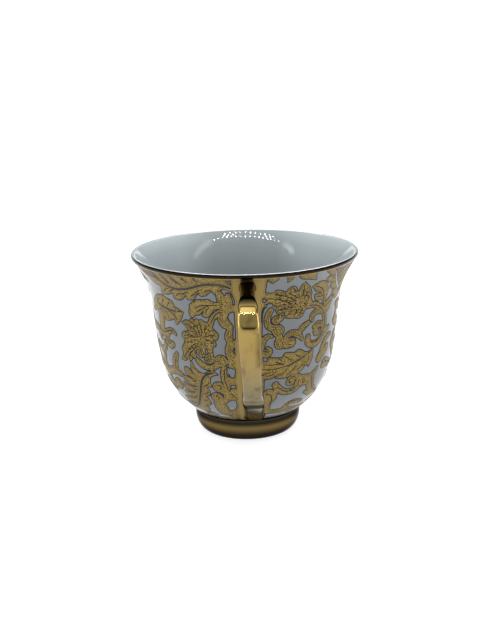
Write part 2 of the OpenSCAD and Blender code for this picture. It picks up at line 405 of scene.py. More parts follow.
def paint_handle(m):
    """Gold with painted reflections and shade: dark on the arm, with a face that gets greyer towards the
    foot, and blotches of wear over it all.
    """
    tree = m.node_tree
    # painted shade: surfaces that face up, as on the arm's top, are darkened
    top = tone(m, "Normal", "Z", 0, 1, (0, 1), (0.86, 1), (1, (0.4, 0.36, 0.34)))
    # painted reflections by height: brightest near the top bend, a dark band 18 to 20 mm up where the lower
    # arm turns in, and a paler, greyer face towards the foot
    face = tone(m, "Position", "Z", 0, HANDLE_TOP,
                (0.17, (0.12, 0.105, 0.075)), (0.2, (0.28, 0.24, 0.16)), (0.285, (0.25, 0.21, 0.125)),
                (0.3, (0.03, 0.026, 0.018)), (0.34, (0.025, 0.022, 0.016)), (0.352, (0.15, 0.13, 0.085)),
                (0.48, (0.19, 0.152, 0.08)), (0.58, (0.24, 0.178, 0.072)), (0.72, (0.27, 0.19, 0.062)),
                (0.786, (0.31, 0.22, 0.07)), (0.79, (0.42, 0.305, 0.098)))
    # a painted dark reflection on the +X side, about 35 to 46 mm up
    painted_dark_streak = combine(tree, "MAXIMUM", tone(m, "Position", "X", 2.2, 3.5, (0, 1), (1, 0.62)),
                     tone(m, "Position", "Z", 0, HANDLE_TOP, (0.58, 1), (0.65, 0), (0.73, 0), (0.77, 1)))
    worn = grain(m, WORN_NOISE, 3, (0.3, (0.6, 0.56, 0.48)), (0.46, 1), (0.7, 1.1))
    # painted shade on the arm, darker towards the wall; below about 46 mm it is left bright, and the
    # sideways-facing edges are kept lighter
    arm = tone(m, "Position", "Y", ARM_FROM, ARM_TO,
               (0.1, 1), (0.22, 0.6), (0.33, 0.28), (0.44, (0.09, 0.08, 0.08)), (0.52, (0.035, 0.03, 0.028)))
    below_arm = tone(m, "Position", "Z", 44, 50, (0.3, 1), (0.7, 0))
    sides = tone(m, "Normal", "X", -1, 1, (0.16, 0.5), (0.32, 0), (0.68, 0), (0.84, 0.5))
    lit = combine(tree, "MAXIMUM", arm, below_arm, sides)
    paint(m, combine(tree, "MULTIPLY", top, face, painted_dark_streak, worn, lit))
    # painted reflection strength: the Specular Tint dims the reflection 18 to 23 mm up on the lower arm, and
    # on the upper arm
    painted_reflection_dimming = tone(m, "Position", "Z", 0, HANDLE_TOP,
                (0.29, (1, 0.96, 0.88)), (0.305, (0.3, 0.29, 0.25)), (0.34, (0.3, 0.29, 0.25)),
                (0.352, (0.62, 0.58, 0.48)), (0.38, (0.62, 0.58, 0.48)), (0.4, 1))
    painted_arm_dimming = tone(m, "Position", "Y", ARM_FROM, ARM_TO, (0.2, 1), (0.4, 0.58), (0.6, (0.86, 0.82, 0.8)))
    paint(m, combine(tree, "MULTIPLY", painted_reflection_dimming, combine(tree, "MAXIMUM", painted_arm_dimming, below_arm)), "Specular Tint")


def paint_inside(m):
    """Painted light and shade on the inside glaze: paler towards the sides and the rim, darker a little below
    the rim, with a painted highlight along the top of the lip that fades towards both sides.
    """
    tree = m.node_tree
    # painted shade and light by height and across the cup
    painted_height_shade = tone(m, "Position", "Z", 0, CUP_H,
                (0, (0.37, 0.416, 0.43)), (0.66, (0.37, 0.416, 0.43)), (0.8, (0.306, 0.344, 0.356)),
                (0.93, (0.342, 0.384, 0.393)), (0.992, (0.432, 0.483, 0.496)))
    painted_side_light = tone(m, "Position", "X", -RIM_R, RIM_R, (0.05, 0.97), (0.19, 0.86), (0.35, 0.61), (0.5, 0.58),
                  (0.65, 0.62), (0.81, 0.88), (0.95, 1))
    # a painted highlight along the top of the lip, faded out towards both sides
    painted_lip_highlight = tone(m, "Position", "Z", CUP_H - 0.35, CUP_H - 0.15, (0, 0), (1, (0.66, 0.69, 0.74)))
    fade = tone(m, "Position", "X", -RIM_R, RIM_R, (0.08, 0), (0.25, 1), (0.85, 1), (0.97, 0.3))
    wall, edge = combine(tree, "MULTIPLY", painted_height_shade, painted_side_light), combine(tree, "MULTIPLY", painted_lip_highlight, fade)
    paint(m, combine(tree, "MAXIMUM", wall, edge))


paint_handle(HANDLE_GOLD)
paint_inside(PORCELAIN_INSIDE)
paint(PRINT_GOLD, grain(PRINT_GOLD, PRINT_NOISE, 2, (0.34, (0.085, 0.06, 0.02)), (0.46, (0.18, 0.129, 0.044)),
                        (0.66, (0.26, 0.188, 0.064))))
# Painted shade and reflections on the foot's gold, by height: near black at the bottom, a brighter band about
# 4 to 5 mm up, dark again in the neck at 6 to 7 mm, and lighter above that.
paint(FOOT_GOLD, tone(
    FOOT_GOLD, "Position", "Z", 0, 10,
    (0, (0.015, 0.012, 0.007)), (0.14, (0.018, 0.013, 0.007)), (0.24, (0.026, 0.02, 0.01)),
    (0.33, (0.078, 0.055, 0.022)), (0.44, (0.155, 0.107, 0.039)), (0.5, (0.13, 0.09, 0.033)),
    (0.56, (0.055, 0.04, 0.017)), (0.61, (0.016, 0.013, 0.008)), (0.68, (0.02, 0.017, 0.011)),
    (0.76, (0.07, 0.058, 0.036)), (0.88, (0.12, 0.1, 0.07))))


def dress(obj, mat, slot, *nodes):
    """Gives a piece its material and ties it to the frame."""
    if not obj.data.materials:
        obj.data.materials.append(mat)
    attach(obj, "root")
    if nodes:
        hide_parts(*nodes)
    return obj


dress(make_bowl(), PORCELAIN, "porcelain", "bowl")
dress(make_foot(), PORCELAIN, "porcelain", "foot_ring")
dress(make_foot_slip(), PORCELAIN, "slip", "foot_slip_ring")
dress(make_rim_gold(), BRIGHT_GOLD, "bright_gold", "rim_gilding")
dress(make_lip_gold(), LIP_GOLD, "bright_gold", "rim_gilding")
dress(make_foot_gold(), FOOT_GOLD, "bright_gold", "foot_gilding")
dress(strap_mesh("handle_gold", 0, 4, GILT, 260), HANDLE_GOLD, "bright_gold", "handle", "handle_gilding")
dress(strap_mesh("upper_root_gold", 0, 0.7, fillet, 50), HANDLE_GOLD, "bright_gold", "upper_handle_slip")
dress(strap_mesh("lower_root_gold", 3.4, 4, fillet, 60), HANDLE_GOLD, "bright_gold", "lower_handle_slip")


# ---------------------------------------------------------------- the printed pattern
class Half:
    """One side's print, repeated round the cup at some turns in degrees.

    A place is an angle in degrees from -Y towards +X and a distance in millimetres up the wall
    from the neck. Bands and slits have half their width as a third number, and ribs are pairs of
    places. Commas without a space hold the numbers of one place or pair together.
    """

    def __init__(self, *turns):
        self.turns = turns
        self.gold, self.gaps = [], []                     # shapes, and openings cut through them
        self.veins, self.dots, self.specks = [], [], []   # lines, rows of dots, areas of dashes

    def leaf(self, *numbers):
        self.gold.append(("area", np.reshape(numbers, (-1, 2))))

    def band(self, *numbers):
        self.gold.append(("band", np.reshape(numbers, (-1, 3))))

    def ball(self, angle, s, r):
        self.band(angle, s, r, angle + 0.01, s, r)

    def opening(self, *numbers):
        self.gaps.append(("area", np.reshape(numbers, (-1, 2))))

    def slit(self, *numbers):
        self.gaps.append(("band", np.reshape(numbers, (-1, 3))))

    def hole(self, angle, s, r):
        self.slit(angle, s, r, angle + 0.01, s, r)

    def vein(self, *numbers):
        self.veins.append(np.reshape(numbers, (-1, 2)))

    def ribs(self, shift, rise, *numbers):
        """Veins between pairs of places, bowed by (shift, rise)."""
        for a, b in np.reshape(numbers, (-1, 2, 2)):
            self.vein(a, (a + b) / 2 + [shift, rise], b)

    def dotted(self, *numbers):
        self.dots.append(np.reshape(numbers, (-1, 2)))

    def ring(self, angle, s, wide, high, end):
        """A ring of dots that stops at the angle end, in radians."""
        a = np.linspace(0, end, 9)
        self.dots.append(np.stack([angle + wide * np.cos(a), s + high * np.sin(a)], -1))


LEFT = Half(0, 151, 285)
RIGHT = Half(0, 135)

# --- left half
# the large leaf under the rim
LEFT.leaf(-70,56, -66,52.6, -60,51, -58.6,50.2, -55,48.8, -50.4,48.5, -52.8,45.6, -47.4,45.8, -42.1,47.1,
    -42.7,44.9, -39.2,44.6, -35.5,45.6, -33.3,47.1, -32.7,45.3, -29.2,45.5, -26.8,47, -24.5,48.3, -23.9,47,
    -21.5,47.3, -19,48.4, -17.4,49.3, -15.8,48, -14.2,48.8, -12.4,49.5, -9,50.3, -4,49.5, -4,56)
LEFT.slit(-54,54.6,.3, -51.5,52.3,.34, -46.8,49.9,.36, -42.7,48.9,.36, -37.4,48.6,.38, -32.1,49.05,.36,
    -27.4,49.9,.36, -21.5,51.2,.36, -15.6,51.7,.4, -10.9,51.4,.42, -7.2,50.3,.3)
LEFT.slit(-47,56,.5, -44.6,53,.5, -42,50.6,.3)
LEFT.slit(-39.4,54.4,.4, -38,52.6,.42, -36.2,51.3,.36, -33.4,50.3,.14)
LEFT.slit(-32,54.4,.5, -31.2,52.9,.36, -29,51.6,.1)
LEFT.slit(-25.2,54.6,.5, -24.5,53,.3, -22.8,52.1,.1)
LEFT.slit(-60,53,.5, -56,52.4,.5, -52,51.6,.4, -48,50.8,.1)
LEFT.slit(-54,56,.5, -51.6,53.6,.5, -48.6,51.4,.2)
LEFT.opening(-9.4,53.2, -6.4,53.4, -6.3,51.3, -8,52.2)
for a, s in ((-50, 46.6), (-45, 46.8), (-40.6, 45.8), (-36, 46.6), (-30.6, 46.4), (-27, 48), (-22.4, 48.2)):
    LEFT.vein(a, s, a + 3, s + 1.1, a + 5.4, s + 1.5)
# the spray of the star shaped bud, its curl and its stem
LEFT.leaf(-14.6,48.6, -12.6,49, -10.6,47.4, -8.6,48.2, -7.6,46.4, -6,44.6, -4,44, -4,42.6, -6.2,42.4,
    -9.2,41.6, -10.6,40, -9.6,38.6, -7.6,37.4, -9.6,36.9, -12.4,37, -15,38.4, -15.6,40, -14.4,41.6, -14,43,
    -14.8,45, -15,47)
LEFT.opening(-12.4,49.7, -10,50.1, -7.4,49.4, -6.1,47.6, -5.9,44.2, -6.9,44, -7.2,46.4, -8.2,48.6, -11,48.5)
LEFT.opening(-5.9,42.3, -8.4,42, -10.1,40.6, -9.6,39.2, -7.5,37.7, -7.7,36, -7.4,33.3, -5.9,33.3, -5.7,38)
LEFT.dotted(-12.6,47.4, -12.8,44, -13,41, -12.4,39, -10,37.6)
LEFT.dotted(-10.6,46.4, -9.6,44.6, -7.6,43.4)
LEFT.dotted(-13.6,46, -13.6,44, -14.2,40.4, -13,38)
# the lobed bud on the left of it
LEFT.leaf(-13.4,45, -18,45.1, -19.5,45.8, -23.3,45.6, -26.2,45.5, -28.6,44.9, -30.4,44.2, -32.3,43.4,
    -32.6,42.4, -33.4,41.2, -33,39.8, -31.4,39.5, -29.8,40.3, -27.4,40.6, -25.4,41.5, -23.5,42.5, -24.3,41.2,
    -25.2,40.5, -23.4,40, -21.2,40.4, -19.6,41.3, -18,42.5, -13,43.2)
LEFT.vein(-15,44.2, -20,44, -25,43.6, -30,42.4)
LEFT.vein(-20,44, -24,42.8, -29,41.2)
LEFT.vein(-20,43.4, -22,42.2, -22.6,41)
LEFT.band(-13,42.2,.8, -16.6,41,.75, -19.4,39.4,.7, -20.8,37.4,.7)
LEFT.vein(-14,42.2, -17.6,40.6, -20.2,38.2)
# the flower
LEFT.leaf(-39.9,37.2, -36.4,38.2, -34.6,38, -32.7,38.9, -31,38.5, -29.2,39, -27.8,38.6, -26.2,39, -24.6,38.4,
    -22,38.2, -20.2,37.6, -19.2,36.4, -17.6,35.6, -16.2,34.6, -17,33.4, -18.4,32.6, -18,31.4, -20.1,30.6,
    -20.4,28, -22.4,28, -23.6,30.2, -25,30, -25.4,28, -28,27.1, -30.2,27.7, -31,29, -31.8,28.8, -32.2,26.6,
    -34.6,26.4, -36.2,25.5, -38.6,26, -41,25.1, -43.6,25.3, -41.5,27.6, -42.3,28.8, -40.1,30.5, -39.2,31.6,
    -41.1,33.2, -39.8,34.2, -36.2,34.7, -34.6,35, -36.2,35.5, -37.4,36.3)
for spot in ((-25.4, 31.7, .24), (-28.3, 31.8, .2), (-28.6, 29.9, .26), (-31.5, 33.6, .2), (-27, 29.4, .12)):
    LEFT.hole(*spot)
LEFT.ribs(0, 0.5, -38,37.2,-29,34.6, -33,38,-27.6,34.8, -28,38.2,-26,34.8, -23.4,37.6,-24.6,34.8,
    -39.6,33.2,-30,33.2, -41.6,26,-31,31.4, -37.6,26.6,-29.6,30.6, -33,27.2,-28.8,30.2, -18,34.4,-24,33.6,
    -19,31.8,-24,32.6, -28,27.8,-28,30, -35.4,34.9,-29,34)
LEFT.specks.append(((-40, -18, 26, 38.4), (-27.5, 33)))
# the chain of balls and the small crescent
LEFT.ball(-23, 26.8, 1.45)
LEFT.ball(-15.4, 26.5, 1.75)
LEFT.band(-22,26.8,.8, -18,26.4,.9)
LEFT.band(-15.4,25.6,1, -11,26.3,.5, -7,26.8,1.3, -5,25.6,1.2)
LEFT.band(-31.2,25.9,.75, -28.8,24.9,.9, -25.4,24,.85, -22,23.9,.8, -18.4,24.9,.8)
LEFT.slit(-30,27.2,.25, -27.4,25.9,.28, -24.6,25.1,.22, -21.6,24.9,.08)
for r in (0.5, 1.05):
    LEFT.ring(-15.4, 26.5, 2.1 * r, r, 5.6)
    LEFT.ring(-23, 26.8, 1.8 * r, 0.8 * r, 5.6)
# the dotted ribbon beside the strip
LEFT.band(-9.6,36.4,.45, -10.4,34.8,.75, -10,33.4,.8, -8.2,32.4,.8, -6,32,.8)
LEFT.band(-9.3,32.4,.6, -10.3,31,.75, -10.4,29,.8, -9.4,27.6,.8, -8,26.4,.9, -5,25.4,1)
LEFT.band(-8,29.2,.5, -6,28.4,.6, -4,28,.8)
LEFT.opening(-6.4,31.2, -7.9,30.2, -8.1,29.6, -6.4,28.7)
LEFT.dotted(-9.8,36, -10.4,34.6, -9.6,33.2, -7.4,32.4, -5.6,32)
LEFT.dotted(-9.6,32, -10.4,30, -9.8,28, -8,26.6, -6,25.4)
LEFT.dotted(-8.8,31.6, -9.6,30, -9,28.6, -7.2,27.4)
# the wing shaped leaf
LEFT.leaf(-36.8,25.6, -35.6,24.6, -34,23, -31.4,22, -28,21.6, -24.6,22.4, -21.6,22.9, -18.4,21.8, -20.6,21.6,
    -23.4,20.8, -24.2,19.4, -23.8,17.4, -25.6,17.4, -27.3,16.9, -25.8,15.4, -26.9,14, -29.4,13.5, -27.8,10.5,
    -30.1,9.4, -32.4,8.9, -32.2,7.4, -35,5.7, -41,5.3, -48,5.6, -56,5.8, -60,7, -54,8.4, -50,9, -53.6,9.6,
    -53,10.8, -48,11.2, -48.6,12.2, -49,13.6, -46,14, -47.6,15.4, -47,16.8, -43.8,17.2, -44.8,18.6,
    -42.8,19.6, -40.4,19.4, -42.6,21, -42.6,22.6, -40.6,22.8, -38.4,22.2, -36.8,23.2)
LEFT.slit(-20.4,22.3,.1, -22.6,22.1,.3, -25.1,21.7,.36, -28,20.6,.36, -30.1,19.2,.36, -31.5,17.3,.36,
    -33.3,14.9,.36, -35.4,12.7,.36, -38,10.5,.36, -41.5,8.5,.34, -45.6,7.3,.32, -52,6.5,.26)
LEFT.slit(-34.4,26.6,.36, -34.2,25.6,.42, -32.9,24.5,.42, -31,23.6,.4, -28,23.05,.34, -24.8,23,.26,
    -22.6,23.3,.1)
LEFT.slit(-37.8,22.4,.4, -36.4,21.4,.2, -34.6,20.6,.08)
LEFT.slit(-43,19.9,.4, -39.4,19.6,.3, -35.4,19,.1)
LEFT.slit(-46,17.6,.6, -41.5,16.8,.44, -38,16.5,.34, -34.4,16.8,.08)
LEFT.slit(-48.4,14.6,.55, -42.1,14,.4, -37.2,14.3,.1)
LEFT.slit(-51,11.9,.5, -44,11.6,.42, -38.4,11.9,.1)
LEFT.slit(-56,8.4,.5, -50,8.7,.4, -44,9,.3, -41.4,9.6,.1)
LEFT.ribs(0, -0.3, -29.6,17.2,-25,18.8, -30.8,14.4,-27,15.4, -32.6,11.6,-29,12, -35.4,8.6,-31.6,9.4,
    -37.4,18.2,-34,19.4, -39,15.2,-35.6,15.8, -41,12.6,-38,12.8)
# the branching scroll beside the strip
LEFT.band(-13.6,24.2,.75, -14.4,22.4,.85, -13.8,20.6,1, -13,18.6,1.4, -11,16.4,1.8, -8,14.6,2, -4,14,2)
LEFT.band(-12,20.6,.8, -8,19.6,1.1, -4,19.6,1.1)
LEFT.ball(-18.4, 17.5, 1.8)
LEFT.band(-18.4,16.6,1, -14.6,15.2,1.1, -11,15,1.4)
LEFT.ball(-21, 13.3, 1.9)
LEFT.band(-21,12.4,1.2, -17.4,12,1, -13,13.6,1.3, -9,14.6,1.3)
LEFT.ball(-20, 9, 2)
LEFT.leaf(-23.4,12, -18,12, -14.6,10, -14.6,8, -8.6,8, -4,10, -4,5.2, -10,4.9, -16,4.6, -22,4.9, -24.4,6.6,
    -23.8,8.6, -25,10.4)
LEFT.opening(-17.2,10.7, -14.6,11.6, -11.5,12.8, -7.4,12.8, -7.3,9.9, -8.6,8.6, -13,7.5, -14.9,8.6, -15.2,9.9)
LEFT.opening(-11.2,18.2, -9.4,18.7, -6.7,18.6, -7,17.3, -9.6,17.1, -11.4,16, -11.7,16.6, -10.6,17.4)
LEFT.opening(-12.3,24.6, -9,24.4, -6.4,23.9, -7.6,20.8, -9.8,21, -11.5,22.3, -12.3,23.4)
LEFT.slit(-24,16.2,.5, -20.6,15.6,.34, -17.8,15.3,.3, -16.2,14.5,.26, -16.7,13.4,.12)
LEFT.slit(-16.8,19.8,.3, -15.4,19,.2, -15.6,18.4,.1)
LEFT.slit(-38,3.6,.5, -30,3.5,.7, -20,3.9,.5, -15,4.4,.3)
LEFT.vein(-13.6,24, -14,21.4, -12.8,18, -9.6,15, -6,13.6)
LEFT.vein(-19.6,18, -18,18.4, -17,17.4, -18,16.6)
LEFT.vein(-22,13.6, -20.8,14.4, -19.6,13.4, -20.6,12.6)
LEFT.leaf(-40,4.9, -31,5, -26,3.6, -31,2.9, -40,2.4)
LEFT.leaf(-15.6,5.2, -9,5.6, -8.4,4, -9.6,2, -15,1, -30,1, -31,2.6, -20,2.5, -15,3.6)
# the second leaf
LEFT.leaf(-38.2,40.5, -41.5,41.2, -44.5,41.9, -45.6,43.4, -48.6,44, -50.4,44.2, -52.7,44.7, -56.2,44.6,
    -59.8,44.2, -63,43.4, -66,42.4, -70,40.8, -74,38, -70,38.2, -66.8,38.8, -63.3,37.9, -59.8,38.2, -57,37.7,
    -55,36.8, -50.4,37.1, -46,38, -44.8,36.2, -41.5,37.6, -39.6,39.2)
LEFT.slit(-61.5,41.4,.2, -57.4,40.9,.36, -52.7,40.5,.34, -46.8,40.3,.28, -43.4,40.5,.12)
LEFT.vein(-43.4,40.4, -41,40.6, -38.8,40.5)
LEFT.ribs(0, 0.3, -48,43,-51,41.2, -53,43.6,-57,41.4, -58,43.4,-63,41.4, -46,38.6,-50,39.8, -51,37.8,-55,39.6,
    -56.4,38.4,-61,39.8, -62,38.8,-67,40, -44,37.4,-46,39.8)
# the hooked scroll
LEFT.band(-72,33,1, -66,32.2,1, -60,32,1.1, -56,32.4,1.1, -52,33.5,.75, -49,33.6,.55, -46.9,32.9,.4)
LEFT.band(-57.6,31.6,1.3, -56.4,29.9,1.2, -53.6,28.8,1.15, -51,29.2,.9)
LEFT.band(-61,33,1.2, -61.4,35.4,1.7, -60,37,1.5)
LEFT.band(-70,33,.8, -67.6,32.2,.8, -66,30.6,.9, -65,30,.7)
LEFT.band(-61,28.9,.6, -60.2,27.8,.8, -62.6,26.6,.85, -67,26,.85, -73,27,1)
LEFT.vein(-66,32.6, -58,32.4, -53,33.4, -49,33.6)
LEFT.vein(-57.6,31.6, -56,29.8, -53,29)
# the forked scroll
LEFT.band(-48.2,26.3,.6, -49.9,25.1,.95, -51.6,23.3,1.1, -51.8,21.4,1.1, -52.4,20.4,1)
LEFT.band(-66,18.6,1.1, -60,19.6,1.1, -53,20.3,1.1, -48,19.8,.8, -44.4,19.3,.25)
LEFT.band(-64,18.6,1.1, -63.4,16.4,1.2, -59.6,14.8,1.2, -55,14.7,1.1)
LEFT.ball(-53.8, 15.7, 1.8)
LEFT.band(-64,25,.9, -65.6,22.4,1, -64.6,19.6,1)
LEFT.band(-74,22,1.1, -70,20,1.2, -65,18.8,1.1)
LEFT.band(-72,15,1, -68,13,1.1, -63,12.6,.8)
LEFT.band(-76,8,1, -68,8.6,1, -62,7.4,.5)
LEFT.band(-80,36,.8, -77,33,1.2, -73,32.8,1.2)
LEFT.band(-80,47,.8, -76,49.4,1.2, -71,49.6,1, -67,48.4,.5)
LEFT.band(-80,28,.8, -77,24,1.1, -74,22,1.1)
LEFT.vein(-48.8,25.8, -51.2,23.4, -52,20.8)

# --- right half
RIGHT.leaf(10.4,56, 11.4,53.2, 13.5,52, 15.6,53, 16.4,56)
RIGHT.leaf(19.6,56, 21,53.6, 21.6,51.8, 23.2,52.8, 24,56)
RIGHT.leaf(26.6,56, 27.6,53.2, 29.7,52.3, 33.2,51.9, 38.4,51.1, 37,53, 38.6,56)
# the flower lying on its side
RIGHT.leaf(7,48.4, 10,48.3, 13,48, 15.4,48.1, 16.2,48.9, 19.1,48.6, 20.6,48.2, 22.2,47.7, 23.2,49.2, 25,49.8,
    26.8,49.3, 28,48.2, 29.1,47, 29.8,48.4, 30.6,50, 31.8,50.9, 33.4,49.8, 35.9,48.7, 37.2,47.4, 38.6,46,
    38.9,44.4, 40.4,43, 39.4,41.8, 37.8,41.3, 35.6,40.6, 34.6,39.4, 33.2,38.8, 30.9,38.7, 28.6,39, 25.6,39.1,
    23,39.5, 20.4,39.2, 18.4,40, 20.8,41, 19,40.9, 17.3,42, 18.2,43.3, 15.6,43.7, 15,44.5, 12,44.5, 7,43.8)
RIGHT.opening(9.2,46.7, 11.9,45.7, 11,44.9, 9.1,44.9)
RIGHT.opening(20.2,40.9, 22.9,41.2, 22.6,40.2, 20.4,39.8)
for spot in ((22, 42.7, .26), (23, 42.9, .2), (25.9, 41.8, .22), (27, 41.9, .16), (28, 45.4, .16),
             (29.7, 44.9, .16), (25.7, 43.2, .2)):
    RIGHT.hole(*spot)
RIGHT.ribs(0, 0.5, 15.6,47.6,29,44.2, 19,48.2,30,45, 25,49.2,31,45.4, 31.8,50,32.8,45.4, 36.6,47.4,34.2,44.6,
    12,46.4,27,43.4, 18.4,42,27.6,42.4, 24,39.9,30,41.6, 29,39.6,32,41.6, 33,39.6,34.4,41.8,
    36.6,41.8,34.6,43)
RIGHT.specks.append(((16, 38, 39.4, 49), (30, 44)))
# its stem, the spiral and the two buds
RIGHT.band(37.4,42,.9, 42,42,.85, 46,41.2,.8, 50,39.9,.85, 53.4,37.8,.9, 55.2,35,.95, 54.6,32.4,.95,
    51.7,30.4,.95, 47.6,29.2,.95, 43.4,29.2,.95, 40,30.3,.95, 40,31.9,.8)
RIGHT.band(42.8,36.9,.5, 42,37.9,.8, 43.8,39,.9, 46.8,39.4,.9, 50,39,.7)
RIGHT.band(44.2,34.6,.4, 47,35.2,.7, 50.4,35,.75, 53.4,34.2,.8)
RIGHT.ball(47.4, 33.2, 1.6)
RIGHT.slit(48.8,33.3,.3, 50.4,34,.4)
RIGHT.band(54,33,1, 58,32.3,.9, 60.6,32.8,.6)
RIGHT.vein(38.6,42, 44,41.6, 50,39.8, 54,37, 55.2,34.4, 53,31.6, 47,29.7, 41.6,30)
RIGHT.dotted(42,37.4, 41.8,38.2, 44,39.4, 48,39.6)
RIGHT.dotted(45,35, 48,35.4, 51.6,34.8)
RIGHT.leaf(38.2,48.5, 40.3,49.3, 43.8,49.8, 46.8,49.3, 49.1,48.7, 50.8,47, 52.6,45.9, 53.3,44.4, 52.4,43,
    53,41.6, 53.8,38.6, 50.6,39.4, 50.2,41.8, 48.5,43, 45,43, 42.6,43.9, 41.6,45.2, 44.6,45.2, 46.6,45,
    45.4,46, 42.6,46.2, 40.3,47.3)
RIGHT.vein(40,48.4, 44,47.6, 48.4,45.6, 50.4,43, 51.4,40)
RIGHT.vein(43.4,44.4, 47,44.2, 49.6,44)
RIGHT.leaf(52.6,40.6, 55.6,42.4, 59.1,42.8, 61.6,41.7, 60.3,40.5, 59.2,39.2, 57.2,38.4, 54.2,38.6)
RIGHT.vein(53.6,39.8, 56.6,40.8, 60.4,41.6)
# the far leaf under the rim
RIGHT.leaf(42.2,56, 44.6,53.4, 47.4,52.3, 49.2,51.5, 47,50.7, 47.9,49.7, 50.3,48.8, 53.8,48.4, 53.4,47.2,
    55,46.1, 58.5,45.4, 58.4,43.8, 61.5,42.9, 65.6,41.5, 70,42, 75,44, 79,48, 78,52, 76,56)
RIGHT.slit(49.6,55,.36, 52.4,52.4,.45, 56.8,49.6,.6, 61.5,46.8,.7, 66,44.9,.6, 70,43.6,.2)
for a, b in (((57, 55), (54, 53)), ((61, 54.6), (57, 51)), ((66.6, 54), (61.2, 48.8)),
             ((73, 53), (66, 46.8))):
    RIGHT.slit(*a, 0.9, (a[0] + b[0]) / 2 - 0.4, (a[1] + b[1]) / 2, 0.75, *b, 0.3)
RIGHT.ribs(0, 0.3, 49,50.6,53,51, 52,49.6,55.6,49.6, 55,47.6,59,47.6, 60,44.8,63,45.4)
# the dotted scroll and the balls
RIGHT.band(14.2,42.2,.75, 12.9,40.8,.8, 12.4,39,.8, 13,37.4,.85, 15,36.6,.9, 17.8,36.2,1)
RIGHT.ball(17.7, 38.9, 1.3)
RIGHT.band(17.9,38.8,1, 20.4,39.4,.8)
RIGHT.ball(19, 35.5, 1.75)
RIGHT.ball(20.6, 31.6, 1.8)
RIGHT.band(19.2,35,.9, 20.4,32,.9)
RIGHT.band(8.6,41.6,.5, 9.2,42.8,.5, 10.6,43.8,.5)
RIGHT.opening(9,42.4, 9.9,43.5, 11.2,43.9, 10.3,42.4, 9.9,40.6, 10.1,38.8, 9.7,37.7, 8.9,38.6, 8.7,40.4)
RIGHT.dotted(14.3,42, 13.3,40.6, 12.8,39, 13.5,37.6, 15.4,36.9, 17.8,36.6)
RIGHT.dotted(13.4,41.8, 12.3,40, 12,38.6, 12.8,37, 15,36.2, 17.4,36)
for a, s, r in ((17.7, 38.9, .55), (19, 35.5, .6), (19, 35.5, 1.2), (20.6, 31.6, .6), (20.6, 31.6, 1.2),
                (27, 31.4, .7)):
    RIGHT.ring(a, s, 2.1 * r, r, 5.8)
RIGHT.band(15.6,33.9,.25, 13,34.1,.6, 10.6,33.2,.75, 9.4,31.6,.75, 8,29.4,.9)
RIGHT.band(8,29.6,.8, 9.6,28.6,.75, 12.4,28.3,.8, 14,29.4,.8, 12.9,30.2,.55)
RIGHT.dotted(14.6,33.9, 12,33.8, 10,32.4, 9.2,30.6, 9.6,29)
RIGHT.dotted(9.6,28.8, 12,28.3, 13.8,29.2, 12.8,30)
RIGHT.band(22.6,31.8,1, 24,32.8,.75, 25.6,33.8,.8, 28,34.2,.8, 31,33.8,.95, 33.6,32.9,.8, 35.4,31.6,.35)
RIGHT.band(22,31.2,1.2, 25,31,1.3, 27.6,31.3,1.45)
RIGHT.slit(25.8,33,.1, 27.6,32.9,.3, 29.6,32.6,.2)
RIGHT.band(33,33.8,.75, 34.8,35,.85, 37.2,35.9,.85, 39.8,36.4,.6)
RIGHT.dotted(23.8,32.5, 25.6,34, 28.6,34.5, 32,33.6, 34.6,32.2)
RIGHT.dotted(26,33.5, 29,33.8, 31.8,32.9)
RIGHT.dotted(33.8,34.2, 35.6,35.5, 38.8,36.5)
RIGHT.dotted(24,31, 26,30.6, 28,31)
RIGHT.dotted(34.2,33.6, 36.4,35, 39.4,36)
# the long leaf
RIGHT.leaf(7,26, 10,26.1, 12.9,26.1, 13.4,27.3, 17.4,26.9, 22.7,27, 23.8,28, 27.4,28, 30.8,27.8, 33.2,28.5,
    35.6,28.1, 38.5,27.2, 40.9,27, 44.8,27.7, 45.3,26, 44.9,24.2, 42.9,22.2, 40.4,23.1, 37.9,22, 34.6,21,
    31.6,20.4, 29.7,20.6, 26.2,20.1, 21.5,20.1, 18.5,20.4, 20,21.4, 15.6,20.5, 10,20.3, 7,20.4)
RIGHT.slit(23.2,23.8,.12, 27.4,24,.2, 30.9,24.6,.24, 35.6,25.5,.22, 40.4,26.5,.1)
RIGHT.slit(9.6,21.7,.25, 11.4,22,.08)
RIGHT.vein(9,23.6, 16,23.4, 23,23.8)
RIGHT.vein(40.4,26.5, 44.4,27.2)
RIGHT.vein(10,25.2, 18,24.8, 24,24.9)
RIGHT.ribs(0.8, -0.3, 17.6,25.9,23,24.5, 24,27,29,25.4, 31,27.2,35,26.2, 12,21.2,19,22.8, 19,21.2,26,23,
    26,21,32,23.6, 33,21.8,37.6,24.6, 40,23.6,42,25.8, 20,26.6,22,25.6, 11,22.4,17,23)
# the low scroll
RIGHT.band(18.7,18,.9, 21,16.4,1.05, 24.5,15.2,1, 30,14.6,.95, 34,15.2,1.1, 36.4,17,1.3, 36.6,18.6,1.2)
RIGHT.band(29.6,18.4,1.5, 29.6,19,1.2, 32,20,.75, 35,19.4,.9, 38,18.4,1.2, 42,17.8,1.6, 46,17.6,1.5, 49,19,.9,
    52.6,20.6,.3)
RIGHT.ball(40.6, 17.5, 1.9)
RIGHT.band(46.4,16.4,1.3, 48.6,14.2,1, 51.4,12.6,.8, 56,11.4,.7, 64,10.6,.6)
RIGHT.band(49.6,18.4,.5, 51,16,.35, 53.6,13.8,.3, 58,12.6,.3)
RIGHT.slit(47.6,18.6,.1, 49.4,16.6,.2, 51.4,14.6,.2, 54,13,.08)
RIGHT.band(45.2,12.7,.4, 50,12.1,1, 55,11,1.1)
RIGHT.vein(19.6,17.4, 24,15.6, 30,14.9, 34.6,15.8, 36.6,18.4)
